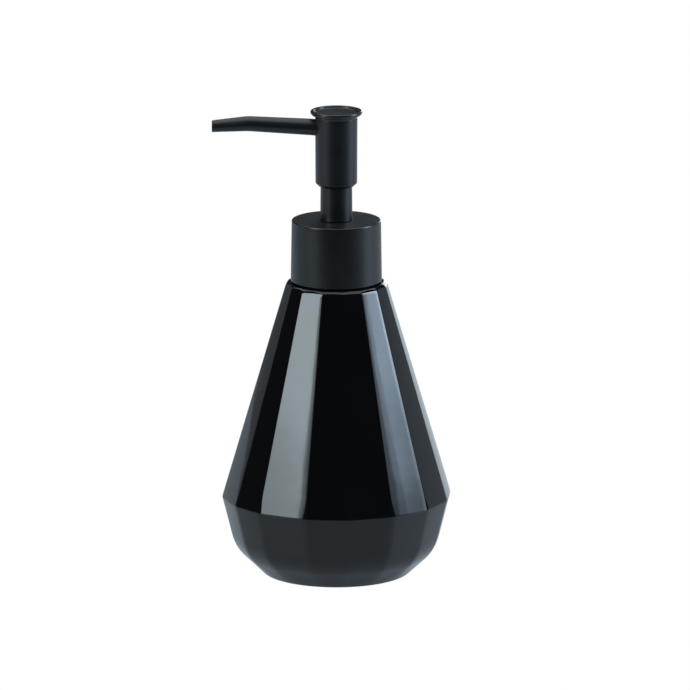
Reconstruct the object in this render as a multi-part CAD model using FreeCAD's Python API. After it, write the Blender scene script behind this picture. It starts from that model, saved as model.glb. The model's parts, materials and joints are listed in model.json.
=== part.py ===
import FreeCAD, Part
import math
import os

# Soap pump dispenser: a faceted ceramic bottle with a screw-on lotion pump.
# Millimetres. +Z is up along the pump's axis, the origin is the centre of the foot's plane,
# and the spout points along -X. Everything is built at rest: head up, collar screwed home.

# ---- bottle: glazed ceramic, a tall facetted pyramid over a short band and a chamfered foot ----
FACETS = 16
FACET_TURN = 7.0          # polar angle of the first upright edge, degrees
CUT_EDGE = 10             # the one upright edge, counted from the first, that is cut out of place
CUT_SHIFT = -4.0          # and by how many degrees
FOOT_R = 26.2             # flat round foot
FOOT_ROUND = 1.6          # height of the rounding where the foot meets the chamfered row
FOOT_BOW = 0.25           # how far that rounding bows out of its chord
FOOT_FLARE = 1.25         # radius per height at which the round foot runs out into the facets
CHAMFER_FOOT_R = 27.4     # corner radius of the chamfered row at the foot's plane
CHAMFER_R = 37.9          # corner radius at the top of the chamfered row
CHAMFER_H = 9.9
RIDGE_R = 42.8            # corner radius of the widest line
BAND_H = 19.5             # from the chamfered row up to the ridge
SHOULDER_R = 18.7         # corner radius of the facets, continued up to the rim's height
BODY_H = 81.0             # from the ridge up to the rim
SHOULDER_ROUND = 2.3
SHOULDER_FLARE = 0.6      # radius per height at which the round shoulder runs out into the edges
WALL = 4.2
FLOOR = 5.2
FOOT_RECESS_R = 21.0
FOOT_RECESS = 1.2
MOUTH_DEPTH = 10.4        # thick part of the neck, from the rim down to the hollow
MOUTH_EDGE = 0.5

# ---- for every piece ----
PAST = 1.0                # how far a cutting shape reaches past what it cuts
BITE = 0.1                # how far a shape that is added starts inside its neighbour
# ---- pump, radii from the inside out ----
STEM_R = 3.6
CYLINDER_BORE = 7.0
CYLINDER_WALL = 1.2
NECK_GAP = 2.0            # between the cylinder and the neck insert's bore
NECK_WALL = 2.3
PLUG_WALL = 2.7
PLUG_GROOVE = 0.4         # depth and half width of the grooves that hold the glue
PLUG_GROOVES = (2.4, 4.8)  # their depths below the rim
GLUE_GAP = 0.1
THREAD_H = 1.2
THREAD_PITCH = 4.233
THREAD_GAP = 0.25
THREAD_ROOT_W = 2.2
THREAD_CREST_W = 1.0
THREAD_RISE = 2.2         # from the insert's flange up to the thread's start
THREAD_TURNS = 1.5
NUT_THREAD_TURNS = 0.95
NUT_WALL = 1.33
NUT_STEP = 0.4            # the nut's wall is this much thicker over its deck
SHELL_WALL = 1.24
SHELL_FLARE = 0.38        # the collar is this much wider at its lower edge
SHELL_EDGE = 0.35
INSERT_FLANGE_OUT = 1.3   # how far the insert's flange stands out past the thread's crest
HOUSING_FLANGE_GAP = 0.15  # between the housing's flange and the nut's thread
RUN_FIT = 0.05            # sliding and turning fits
STEM_FIT = 0.08
PRESS_GAP = 0.02          # between pieces that are pressed or glued together

# ---- pump, heights ----
SEAL_T = 0.6
INSERT_FLANGE_T = 1.4
PLUG_DEPTH = 8.0
NECK_H = 10.2
GASKET_T = 1.0
HOUSING_FLANGE_T = 1.4
DECK_GAP = 0.1
DECK_T = 1.6
NUT_FOOT_GAP = 0.3
COLLAR_GAP = 0.5          # between the bottle's rim and the collar
COLLAR_H = 22.8
COLLAR_PLATE_T = 1.3
HOUSING_NECK_WALL = 1.0
HOUSING_NECK_GAP = 0.6    # under the collar's top plate
GUIDE_FLANGE_T = 0.5

# ---- cylinder, valves and piston ----
GUIDE_PLUG_DEPTH = 6.0    # below the housing's flange
CYLINDER_DEPTH = 39.0     # from the housing's flange down to the spring's seat
STROKE = 12.5
PISTON_H = 8.0
PISTON_WEB_T = 2.4
PISTON_LIP_T = 0.9
PISTON_LIP_EASE = 0.1     # the lips' ends stand clear of the cylinder by this much more
PISTON_WAIST = 0.2        # and the wall between them by this much more
PISTON_HUB_WALL = 1.3
PISTON_HUB_DROP = 1.5     # hub's top below the upper lip
ROD_R = 3.0
ROD_BORE = 1.2
ROD_FLANGE_R = 5.8
ROD_FLANGE_T = 1.4
ROD_SPIGOT_R = 2.7
ROD_SPIGOT_H = 3.1
STEM_BORE = 1.2
OUTLET_BALL_R = 1.6
OUTLET_CHAMBER_R = 2.0
OUTLET_SLOT_W = 0.8       # slot in the chamber's roof that the soap passes the ball through
OUTLET_SLOT_H = 1.1
INLET_BALL_R = 2.4
INLET_BORE = 1.7
INLET_CHAMBER_R = 3.5
CAGE_WALL = 0.8
CAGE_T = 1.4
CAGE_HOLE_R = 1.6
CAGE_SLOT_W = 1.0
BALL_LIFT = 1.2
BALL_GAP = 0.03
SEAT_ANGLE = 35.0         # half angle of both valve seats' cones
SOCKET_DEPTH = 11.0
SOCKET_WALL = 1.4
INLET_WEB_T = 2.6
TUBE_R = 3.2
TUBE_BORE = 2.2
TUBE_FLOOR_GAP = 2.4
TUBE_CUT = 2.2            # rise of the slanted end across the tube
WIRE_R = 0.45
SPRING_R = 5.0
SPRING_TURNS = 7.5
VENT_R = 0.6

# ---- guide sleeve and its sheath ----
GUIDE_LAP = 5.0           # how far the sleeve reaches into the head at rest
GUIDE_TUBE_R = 5.35
SHEATH_FOOT_R = 5.95
SHEATH_TOP_R = 5.83
SHEATH_ROUND = 0.5
SHEATH_CAP_T = 0.5
HOLE_GAP = 0.25           # collar's hole round the guide tube
REST_GAP = 0.3            # left under the head when it is pressed home
BOSS_FIT = 0.15
GUIDE_FLOOR_GAP = 1.0     # under the head's boss when pressed home

# ---- head ----
HEAD_FOOT_R = 7.72
HEAD_TOP_R = 7.83
HEAD_WALL = 1.25
HEAD_CHAMFER = 1.3
HEAD_LIP_T = 0.9
HEAD_LIP_GAP = 0.17
BOSS_R = 4.6
BOSS_CLEAR = 3.0          # between the sleeve's end and the boss, at rest
CORE_CLEAR = 1.0          # between the sleeve's end and the core, pressed home
STEM_SEAT = 2.0           # stem's end below the core's disc
CORE_BELOW_SPOUT = 3.6
SEAM_ABOVE_SPOUT = 3.6
CAP_PLUG_T = 0.95
CAP_PIN_R = 2.0
CAP_PIN_H = 2.0
CAP_LIP_R = 9.63
CAP_LIP_ROUND = 0.8
CAP_FLARE_BOW = 0.22      # how far the flare under the lip bows in
CAP_H = 2.8
CAP_DISH = 0.8
CAP_DISH_EASE_W = 0.35    # soft start of the dish's edge
CAP_DISH_EASE_H = 0.15
CAP_LIP_ANGLE = 62.0      # where the flare meets the lip's round edge, degrees below level
CORE_PASSAGE_R = 1.5

# ---- spout: round tube with one soft bend ----
SPOUT_BORE = 1.3
SPIGOT_WALL = 1.1
SPOUT_ROOT_R = 3.1
SPOUT_BEND_R = 2.8
SPOUT_TIP_R = 2.2
SPOUT_BEND_OUT = 32.7     # from the axis
SPOUT_BEND_RISE = 1.4     # above the root
SPOUT_TIP_OUT = 46.0
SPOUT_TIP_RISE = 0.4
SPOUT_BEND_EASE = 1.6     # length each side of the bend that is rounded
SPOUT_BEND_STEPS = 6
SPIGOT_REACH = 2.0        # spigot's end from the axis

# ---- heights and radii that follow ----
RIDGE_Z = CHAMFER_H + BAND_H
RIM_Z = RIDGE_Z + BODY_H
HOLLOW_TOP = RIM_Z - MOUTH_DEPTH

CYLINDER_R = CYLINDER_BORE + CYLINDER_WALL
NECK_BORE = CYLINDER_R + NECK_GAP
NECK_R = NECK_BORE + NECK_WALL
PLUG_R = NECK_BORE + PLUG_WALL
MOUTH_R = PLUG_R + GLUE_GAP
THREAD_R = NECK_R + THREAD_H
NUT_BORE = THREAD_R + THREAD_GAP
NUT_THREAD_R = NECK_R + THREAD_GAP
NUT_R = NUT_BORE + NUT_WALL
SHELL_BORE = NUT_R + PRESS_GAP
SHELL_TOP_R = SHELL_BORE + SHELL_WALL
INSERT_FLANGE_R = THREAD_R + INSERT_FLANGE_OUT
HOUSING_FLANGE_R = NUT_THREAD_R - HOUSING_FLANGE_GAP
HOUSING_NECK_R = CYLINDER_BORE + HOUSING_NECK_WALL

INSERT_Z = RIM_Z + SEAL_T
NECK_FOOT_Z = INSERT_Z + INSERT_FLANGE_T
THREAD_Z = NECK_FOOT_Z + THREAD_RISE
NECK_TOP_Z = NECK_FOOT_Z + NECK_H
FLANGE_Z = NECK_TOP_Z + GASKET_T
FLANGE_TOP_Z = FLANGE_Z + HOUSING_FLANGE_T
DECK_Z = FLANGE_TOP_Z + DECK_GAP
COLLAR_Z = RIM_Z + COLLAR_GAP
COLLAR_TOP_Z = COLLAR_Z + COLLAR_H
PLATE_Z = COLLAR_TOP_Z - COLLAR_PLATE_T
HOUSING_TOP_Z = PLATE_Z - HOUSING_NECK_GAP

SHEATH_Z = COLLAR_TOP_Z + RUN_FIT
HEAD_Z = COLLAR_TOP_Z + STROKE + REST_GAP
SHEATH_TOP_Z = HEAD_Z + GUIDE_LAP
GUIDE_TOP_Z = SHEATH_TOP_Z - SHEATH_CAP_T
BOSS_Z = SHEATH_TOP_Z + BOSS_CLEAR
GUIDE_FLOOR_Z = BOSS_Z - STROKE - GUIDE_FLOOR_GAP
CORE_Z = SHEATH_TOP_Z + STROKE + CORE_CLEAR
STEM_TOP_Z = CORE_Z - STEM_SEAT
SPOUT_Z = CORE_Z + CORE_BELOW_SPOUT
SEAM_Z = SPOUT_Z + SEAM_ABOVE_SPOUT
CORE_TOP_Z = SEAM_Z - CAP_PLUG_T
CREST_Z = SEAM_Z + CAP_H
HEAD_BORE = HEAD_TOP_R - HEAD_WALL
SPIGOT_R = SPOUT_BORE + SPIGOT_WALL

GUIDE_PLUG_Z = FLANGE_TOP_Z - GUIDE_PLUG_DEPTH
PISTON_TOP_Z = GUIDE_PLUG_Z - RUN_FIT
PISTON_Z = PISTON_TOP_Z - PISTON_H
HUB_TOP_Z = PISTON_TOP_Z - PISTON_HUB_DROP
STEM_Z = HUB_TOP_Z + RUN_FIT
ROD_FLANGE_TOP_Z = PISTON_Z - RUN_FIT
ROD_Z = ROD_FLANGE_TOP_Z - ROD_FLANGE_T
SPIGOT_TOP_Z = STEM_Z + ROD_SPIGOT_H
SPRING_Z = FLANGE_TOP_Z - CYLINDER_DEPTH
CAGE_Z = SPRING_Z - CAGE_T


def slant(radius):
    """Height of a valve seat's cone between its apex and the given radius."""
    return radius / math.tan(math.radians(SEAT_ANGLE))


def ball_over_apex(ball_r):
    """Height of a seated ball's centre over the apex of the seat's cone."""
    return ball_r / math.sin(math.radians(SEAT_ANGLE))


def ball_stop(ball_r, hole_r):
    """Height between a ball's centre and the edge of the hole that stops it."""
    return math.sqrt(ball_r ** 2 - hole_r ** 2)


INLET_BALL_Z = CAGE_Z - ball_stop(INLET_BALL_R, CAGE_HOLE_R) - BALL_LIFT - BALL_GAP
INLET_APEX_Z = INLET_BALL_Z - BALL_GAP - ball_over_apex(INLET_BALL_R)
INLET_SEAT_Z = INLET_APEX_Z + slant(INLET_BORE)
INLET_CHAMBER_Z = INLET_APEX_Z + slant(INLET_CHAMBER_R)
SOCKET_TOP_Z = INLET_SEAT_Z - INLET_WEB_T
SOCKET_Z = SOCKET_TOP_Z - SOCKET_DEPTH
SOCKET_R = TUBE_R + PRESS_GAP + SOCKET_WALL
CHAMBER_R = INLET_CHAMBER_R + SOCKET_WALL
TUBE_Z = FLOOR + TUBE_FLOOR_GAP

OUTLET_APEX_Z = SPIGOT_TOP_Z - slant(OUTLET_CHAMBER_R)
OUTLET_BALL_Z = OUTLET_APEX_Z + ball_over_apex(OUTLET_BALL_R) + BALL_GAP
OUTLET_ROOF_Z = OUTLET_BALL_Z + BALL_LIFT + BALL_GAP + ball_stop(OUTLET_BALL_R, STEM_BORE)


def point(radius, height):
    """A point of a turned profile."""
    return FreeCAD.Vector(radius, 0, height)


def arc(start, middle, end):
    """An arc edge of a turned profile through three (radius, height) points."""
    return Part.Arc(point(*start), point(*middle), point(*end)).toShape()


def bowed(start, end, bow):
    """An arc edge that bows to the right of the way from start to end, by the given height."""
    run, rise = end[0] - start[0], end[1] - start[1]
    share = bow / math.hypot(run, rise)
    middle = ((start[0] + end[0]) / 2 + share * rise, (start[1] + end[1]) / 2 - share * run)
    return arc(start, middle, end)


def rounding(start, end):
    """A quarter round edge from start to end."""
    return bowed(start, end, abs(end[0] - start[0]) * (1.0 - math.sqrt(0.5)))


def chain(*pieces):
    """Edges of a closed turned profile: points joined by lines, with arc edges in between."""
    edges = []
    last = first = None
    for piece in pieces:
        if isinstance(piece, tuple):
            start = end = point(*piece)
        else:
            start, end = piece.Vertexes[0].Point, piece.Vertexes[-1].Point
        if last is not None and last.distanceToPoint(start) > 1e-6:
            edges.append(Part.makeLine(last, start))
        if not isinstance(piece, tuple):
            edges.append(piece)
        first = first or start
        last = end
    edges.append(Part.makeLine(last, first))
    return edges


def turned(*pieces):
    """Solid of revolution of a profile given as (radius, height) points and arc edges."""
    wire = Part.Wire(Part.__sortEdges__(chain(*pieces)))
    solid = Part.Face(wire).revolve(point(0, 0), FreeCAD.Vector(0, 0, 1), 360)
    if solid.Volume < 0:
        solid.reverse()
    return solid


def ring(outer, inner, low, high):
    """A plain ring or tube on the axis."""
    return turned((inner, low), (outer, low), (outer, high), (inner, high))


def disc(radius, low, high):
    """A plain cylinder on the axis."""
    return Part.makeCylinder(radius, high - low, point(0, low))


def facetted(rings):
    """Solid between polygons of the same facets, each as (corner radius, height), bottom first."""
    turns = [FACET_TURN + 360.0 * i / FACETS for i in range(FACETS)]
    turns[CUT_EDGE] += CUT_SHIFT
    angles = [math.radians(turn) for turn in turns]
    loops = []
    for radius, height in rings:
        loops.append([FreeCAD.Vector(radius * math.cos(a), radius * math.sin(a), height) for a in angles])
    faces = [Part.Face(Part.makePolygon(loop + loop[:1])) for loop in (loops[0], loops[-1])]
    for below, above in zip(loops, loops[1:]):
        for i in range(FACETS):
            j = (i + 1) % FACETS
            faces.append(Part.Face(Part.makePolygon([below[i], below[j], above[j], above[i], below[i]])))
    solid = Part.makeSolid(Part.makeShell(faces))
    if solid.Volume < 0:
        solid.reverse()
    return solid


def outer_corner(height):
    """Corner radius of the bottle's outside at a height."""
    stations = [(0.0, CHAMFER_FOOT_R), (CHAMFER_H, CHAMFER_R), (RIDGE_Z, RIDGE_R), (RIM_Z, SHOULDER_R)]
    for (z0, r0), (z1, r1) in zip(stations, stations[1:]):
        if height <= z1:
            return r0 + (r1 - r0) * (height - z0) / (z1 - z0)
    return SHOULDER_R


def helix_ridge(base_r, crest_r, start_z, turns):
    """A thread's ridge, from inside its wall to its crest."""
    bite = BITE if crest_r > base_r else -BITE
    corners = [
        (base_r - bite, -THREAD_ROOT_W / 2),
        (crest_r, -THREAD_CREST_W / 2),
        (crest_r, THREAD_CREST_W / 2),
        (base_r - bite, THREAD_ROOT_W / 2),
    ]
    profile = Part.makePolygon([point(*c) for c in corners + corners[:1]])
    path = Part.Wire(Part.makeHelix(THREAD_PITCH, THREAD_PITCH * turns, base_r))
    ridge = path.makePipeShell([profile], True, True)
    if ridge.Volume < 0:
        ridge.reverse()
    ridge.translate(point(0, start_z))
    return ridge


# ---- bottle ----

def wall_corner(radius, height, lean_below, lean_above):
    """Inner corner of the wall behind an outer corner, from the leans of the faces that meet there."""
    reach = WALL / math.cos((lean_below - lean_above) / 2)
    lean = (lean_below + lean_above) / 2
    return radius - reach * math.cos(lean) / math.cos(math.pi / FACETS), height + reach * math.sin(lean)


def bottle():
    flat = math.cos(math.pi / FACETS)
    outside = facetted([
        (CHAMFER_FOOT_R, 0.0),
        (CHAMFER_R, CHAMFER_H),
        (RIDGE_R, RIDGE_Z),
        (SHOULDER_R, RIM_Z),
    ])

    foot_end = (FOOT_R + FOOT_FLARE * FOOT_ROUND, FOOT_ROUND)
    clear_r = RIDGE_R + PAST
    lean = math.atan((RIDGE_R - SHOULDER_R) / BODY_H * flat)
    shoulder_mid_r = SHOULDER_R * flat + SHOULDER_ROUND * (math.tan(lean) - 1.0 / math.cos(lean))
    shoulder = (
        shoulder_mid_r + SHOULDER_ROUND * math.cos(lean),
        RIM_Z - SHOULDER_ROUND + SHOULDER_ROUND * math.sin(lean),
    )
    sweep = math.pi / 2 - lean
    envelope = turned(
        (0.0, 0.0),
        (FOOT_R, 0.0),
        bowed((FOOT_R, 0.0), foot_end, FOOT_BOW),
        (clear_r, FOOT_ROUND + (clear_r - foot_end[0]) / FOOT_FLARE),
        (clear_r, shoulder[1] - (clear_r - shoulder[0]) / SHOULDER_FLARE),
        shoulder,
        bowed(shoulder, (shoulder_mid_r, RIM_Z), SHOULDER_ROUND * (1.0 - math.cos(sweep / 2))),
        (0.0, RIM_Z),
    )

    chamfer_lean = math.atan2(CHAMFER_R - CHAMFER_FOOT_R, CHAMFER_H)
    band_lean = math.atan2(RIDGE_R - CHAMFER_R, BAND_H)
    hollow = facetted([
        (outer_corner(FLOOR) - WALL / flat / math.cos(chamfer_lean), FLOOR),
        wall_corner(CHAMFER_R, CHAMFER_H, chamfer_lean, band_lean),
        wall_corner(RIDGE_R, RIDGE_Z, band_lean, -lean),
        (outer_corner(HOLLOW_TOP) - WALL / flat / math.cos(lean), HOLLOW_TOP),
    ])
    mouth = disc(MOUTH_R, HOLLOW_TOP - PAST, RIM_Z + PAST)
    lead = turned(
        (0.0, RIM_Z - MOUTH_EDGE),
        (MOUTH_R, RIM_Z - MOUTH_EDGE),
        (MOUTH_R + MOUTH_EDGE, RIM_Z),
        (MOUTH_R + MOUTH_EDGE, RIM_Z + PAST),
        (0.0, RIM_Z + PAST),
    )
    recess = turned(
        (0.0, -PAST),
        (FOOT_RECESS_R, -PAST),
        (FOOT_RECESS_R, 0.0),
        (FOOT_RECESS_R - FOOT_RECESS, FOOT_RECESS),
        (0.0, FOOT_RECESS),
    )
    return outside.common(envelope).cut(hollow).cut(mouth).cut(lead).cut(recess)


def neck_insert():
    body = turned(
        (NECK_BORE, RIM_Z - PLUG_DEPTH),
        (PLUG_R - PLUG_GROOVE, RIM_Z - PLUG_DEPTH),
        (PLUG_R, RIM_Z - PLUG_DEPTH + PLUG_GROOVE),
        (PLUG_R, INSERT_Z),
        (INSERT_FLANGE_R, INSERT_Z),
        (INSERT_FLANGE_R, NECK_FOOT_Z),
        (NECK_R, NECK_FOOT_Z),
        (NECK_R, NECK_TOP_Z),
        (NECK_BORE, NECK_TOP_Z),
    )
    for depth in PLUG_GROOVES:
        low, high = RIM_Z - depth - PLUG_GROOVE, RIM_Z - depth + PLUG_GROOVE
        body = body.cut(ring(PLUG_R + PAST, PLUG_R - PLUG_GROOVE, low, high))
    return body.fuse(helix_ridge(NECK_R, THREAD_R, THREAD_Z, THREAD_TURNS))


def insert_seal():
    return ring(INSERT_FLANGE_R, MOUTH_R + MOUTH_EDGE, RIM_Z, INSERT_Z)


# ---- collar: a threaded nut with a cover pressed on it ----

def closure_nut():
    body = turned(
        (NUT_BORE, NECK_FOOT_Z + NUT_FOOT_GAP),
        (NUT_R, NECK_FOOT_Z + NUT_FOOT_GAP),
        (NUT_R, PLATE_Z - RUN_FIT),
        (NUT_BORE - NUT_STEP, PLATE_Z - RUN_FIT),
        (NUT_BORE - NUT_STEP, DECK_Z + DECK_T),
        (HOUSING_NECK_R + HOLE_GAP, DECK_Z + DECK_T),
        (HOUSING_NECK_R + HOLE_GAP, DECK_Z),
        (NUT_BORE, DECK_Z),
    )
    start = THREAD_Z + THREAD_PITCH / 2
    return body.fuse(helix_ridge(NUT_BORE, NUT_THREAD_R, start, NUT_THREAD_TURNS))


def collar_shell():
    foot_r = SHELL_TOP_R + SHELL_FLARE
    return turned(
        (SHELL_BORE, COLLAR_Z),
        (foot_r - SHELL_EDGE / 2, COLLAR_Z),
        (foot_r, COLLAR_Z + SHELL_EDGE / 2),
        rounding((SHELL_TOP_R, COLLAR_TOP_Z - SHELL_EDGE), (SHELL_TOP_R - SHELL_EDGE, COLLAR_TOP_Z)),
        (GUIDE_TUBE_R + HOLE_GAP, COLLAR_TOP_Z),
        (GUIDE_TUBE_R + HOLE_GAP, PLATE_Z),
        (SHELL_BORE, PLATE_Z),
    )


# ---- fixed pump body ----

def neck_gasket():
    return ring(NECK_R, NECK_BORE, NECK_TOP_Z, FLANGE_Z)


def pump_housing():
    body = turned(
        (TUBE_R + PRESS_GAP, SOCKET_Z),
        (SOCKET_R, SOCKET_Z),
        (SOCKET_R, SOCKET_TOP_Z),
        (CHAMBER_R, INLET_SEAT_Z),
        (CHAMBER_R, CAGE_Z - CYLINDER_R + CHAMBER_R),
        (CYLINDER_R, CAGE_Z),
        (CYLINDER_R, FLANGE_Z),
        (HOUSING_FLANGE_R, FLANGE_Z),
        (HOUSING_FLANGE_R, FLANGE_TOP_Z),
        (HOUSING_NECK_R, FLANGE_TOP_Z),
        (HOUSING_NECK_R, HOUSING_TOP_Z),
        (CYLINDER_BORE, HOUSING_TOP_Z),
        (CYLINDER_BORE, CAGE_Z),
        (INLET_CHAMBER_R, CAGE_Z),
        (INLET_CHAMBER_R, INLET_CHAMBER_Z),
        (INLET_BORE, INLET_SEAT_Z),
        (INLET_BORE, SOCKET_TOP_Z),
        (TUBE_R + PRESS_GAP, SOCKET_TOP_Z),
    )
    vent_z = (PISTON_Z + HUB_TOP_Z) / 2
    vent = Part.makeCylinder(VENT_R, CYLINDER_R + PAST, point(0, vent_z), FreeCAD.Vector(0, 1, 0))
    return body.cut(vent)


def guide_sleeve():
    return turned(
        (STEM_R + STEM_FIT, GUIDE_PLUG_Z),
        (CYLINDER_BORE - RUN_FIT, GUIDE_PLUG_Z),
        (CYLINDER_BORE - RUN_FIT, HOUSING_TOP_Z),
        (HOUSING_NECK_R, HOUSING_TOP_Z),
        (HOUSING_NECK_R, HOUSING_TOP_Z + GUIDE_FLANGE_T),
        (GUIDE_TUBE_R, HOUSING_TOP_Z + GUIDE_FLANGE_T),
        (GUIDE_TUBE_R, GUIDE_TOP_Z),
        (BOSS_R + BOSS_FIT, GUIDE_TOP_Z),
        (BOSS_R + BOSS_FIT, GUIDE_FLOOR_Z),
        (STEM_R + STEM_FIT, GUIDE_FLOOR_Z),
    )


def guide_sheath():
    inner = GUIDE_TUBE_R + PRESS_GAP
    return turned(
        (inner, SHEATH_Z),
        rounding((SHEATH_FOOT_R - SHEATH_ROUND, SHEATH_Z), (SHEATH_FOOT_R, SHEATH_Z + SHEATH_ROUND)),
        (SHEATH_TOP_R, SHEATH_TOP_Z - SHEATH_ROUND),
        (SHEATH_TOP_R - SHEATH_ROUND, SHEATH_TOP_Z),
        (BOSS_R + BOSS_FIT, SHEATH_TOP_Z),
        (BOSS_R + BOSS_FIT, GUIDE_TOP_Z + PRESS_GAP),
        (inner, GUIDE_TOP_Z + PRESS_GAP),
    )


def ball_cage():
    skirt_r = INLET_CHAMBER_R - RUN_FIT
    body = turned(
        (CAGE_HOLE_R, CAGE_Z),
        (INLET_BALL_R + RUN_FIT, CAGE_Z),
        (INLET_BALL_R + RUN_FIT, INLET_CHAMBER_Z + RUN_FIT),
        (skirt_r, INLET_CHAMBER_Z + RUN_FIT),
        (skirt_r, CAGE_Z),
        (CYLINDER_BORE - RUN_FIT, CAGE_Z),
        (CYLINDER_BORE - RUN_FIT, SPRING_Z),
        (CAGE_HOLE_R, SPRING_Z),
    )
    reach = INLET_CHAMBER_R - CAGE_WALL / 2
    low = INLET_CHAMBER_Z
    slot = Part.makeBox(
        2 * reach, CAGE_SLOT_W, SPRING_Z + PAST - low, FreeCAD.Vector(-reach, -CAGE_SLOT_W / 2, low)
    )
    return body.cut(slot)


def return_spring():
    pitch = (ROD_Z - SPRING_Z) / SPRING_TURNS
    length = pitch * (SPRING_TURNS + 1.0)
    wire = Part.Wire(Part.Circle(point(SPRING_R, 0), FreeCAD.Vector(0, 1, 0), WIRE_R).toShape())
    coil = Part.Wire(Part.makeHelix(pitch, length, SPRING_R)).makePipeShell([wire], True, True)
    coil.translate(point(0, SPRING_Z - pitch / 2))
    return coil.common(disc(SPRING_R + PAST, SPRING_Z, ROD_Z))


def inlet_ball():
    return Part.makeSphere(INLET_BALL_R, point(0, INLET_BALL_Z))


def dip_tube():
    tube = ring(TUBE_R, TUBE_BORE, TUBE_Z, SOCKET_TOP_Z - RUN_FIT)
    reach = TUBE_R + PAST
    rise = TUBE_CUT * reach / TUBE_R / 2
    mid = TUBE_Z + TUBE_CUT / 2
    low = mid - rise - PAST
    corners = [(-reach, mid - rise), (reach, mid + rise), (reach, low), (-reach, low)]
    wedge = Part.Face(Part.makePolygon([point(*c) for c in corners + corners[:1]]))
    wedge.translate(FreeCAD.Vector(0, -reach, 0))
    return tube.cut(wedge.extrude(FreeCAD.Vector(0, 2 * reach, 0)))


# ---- piston and what turns with the head ----

def piston():
    wall = CYLINDER_BORE - RUN_FIT
    bore = ROD_R + RUN_FIT
    hub = bore + PISTON_HUB_WALL
    lip = wall - PISTON_LIP_T
    web_low = PISTON_Z + (PISTON_H - PISTON_WEB_T) / 2
    web_high = web_low + PISTON_WEB_T
    return turned(
        (bore, PISTON_Z),
        (hub, PISTON_Z),
        (hub, web_low),
        (lip, web_low),
        (lip, PISTON_Z + PISTON_LIP_T),
        (wall - PISTON_LIP_EASE, PISTON_Z + PISTON_LIP_T),
        (wall, PISTON_Z + 2 * PISTON_LIP_T),
        (wall - PISTON_WAIST, web_low),
        (wall - PISTON_WAIST, web_high),
        (wall, PISTON_TOP_Z - PISTON_LIP_T),
        (wall - PISTON_LIP_EASE, PISTON_TOP_Z),
        (lip, PISTON_TOP_Z),
        (lip, web_high),
        (hub, web_high),
        (hub, HUB_TOP_Z),
        (bore, HUB_TOP_Z),
    )


def stem():
    socket = ROD_SPIGOT_R + PRESS_GAP
    body = turned(
        (socket, STEM_Z),
        (STEM_R, STEM_Z),
        (STEM_R, STEM_TOP_Z),
        (STEM_BORE, STEM_TOP_Z),
        (STEM_BORE, OUTLET_ROOF_Z),
        (OUTLET_CHAMBER_R, OUTLET_ROOF_Z),
        (OUTLET_CHAMBER_R, SPIGOT_TOP_Z + RUN_FIT),
        (socket, SPIGOT_TOP_Z + RUN_FIT),
    )
    corner = FreeCAD.Vector(-OUTLET_CHAMBER_R, -OUTLET_SLOT_W / 2, OUTLET_ROOF_Z - BITE)
    slot = Part.makeBox(2 * OUTLET_CHAMBER_R, OUTLET_SLOT_W, OUTLET_SLOT_H + BITE, corner)
    return body.cut(slot)


def piston_rod():
    return turned(
        (ROD_BORE, ROD_Z),
        (ROD_FLANGE_R, ROD_Z),
        (ROD_FLANGE_R, ROD_FLANGE_TOP_Z),
        (ROD_R, ROD_FLANGE_TOP_Z),
        (ROD_R, STEM_Z),
        (ROD_SPIGOT_R, STEM_Z),
        (ROD_SPIGOT_R, SPIGOT_TOP_Z),
        (OUTLET_CHAMBER_R, SPIGOT_TOP_Z),
        (ROD_BORE, OUTLET_APEX_Z + slant(ROD_BORE)),
    )


def outlet_ball():
    return Part.makeSphere(OUTLET_BALL_R, point(0, OUTLET_BALL_Z))


def head_shell():
    lip_r = SHEATH_FOOT_R + HEAD_LIP_GAP
    body = turned(
        (lip_r, HEAD_Z),
        (HEAD_FOOT_R - HEAD_CHAMFER, HEAD_Z),
        (HEAD_FOOT_R, HEAD_Z + HEAD_CHAMFER),
        (HEAD_TOP_R, SEAM_Z),
        (HEAD_BORE, SEAM_Z),
        (HEAD_BORE, HEAD_Z + HEAD_LIP_T + HEAD_BORE - lip_r),
        (lip_r, HEAD_Z + HEAD_LIP_T),
    )
    hole_r = SPIGOT_R + RUN_FIT
    hole = Part.makeCylinder(hole_r, HEAD_TOP_R + PAST, point(0, SPOUT_Z), FreeCAD.Vector(-1, 0, 0))
    return body.cut(hole)


def head_core():
    disc_r = HEAD_BORE - PRESS_GAP
    bore = STEM_R + PRESS_GAP
    body = turned(
        (bore, BOSS_Z),
        (BOSS_R, BOSS_Z),
        (BOSS_R, CORE_Z),
        (disc_r, CORE_Z),
        (disc_r, CORE_TOP_Z),
        (CAP_PIN_R, CORE_TOP_Z),
        (CAP_PIN_R, CORE_TOP_Z + CAP_PIN_H),
        (0.0, CORE_TOP_Z + CAP_PIN_H),
        (0.0, SPOUT_Z),
        (CORE_PASSAGE_R, SPOUT_Z),
        (CORE_PASSAGE_R, STEM_TOP_Z + RUN_FIT),
        (bore, STEM_TOP_Z + RUN_FIT),
    )
    cross_r = SPIGOT_R + PRESS_GAP
    cross = Part.makeCylinder(cross_r, HEAD_TOP_R, point(0, SPOUT_Z), FreeCAD.Vector(-1, 0, 0))
    return body.cut(cross)


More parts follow.
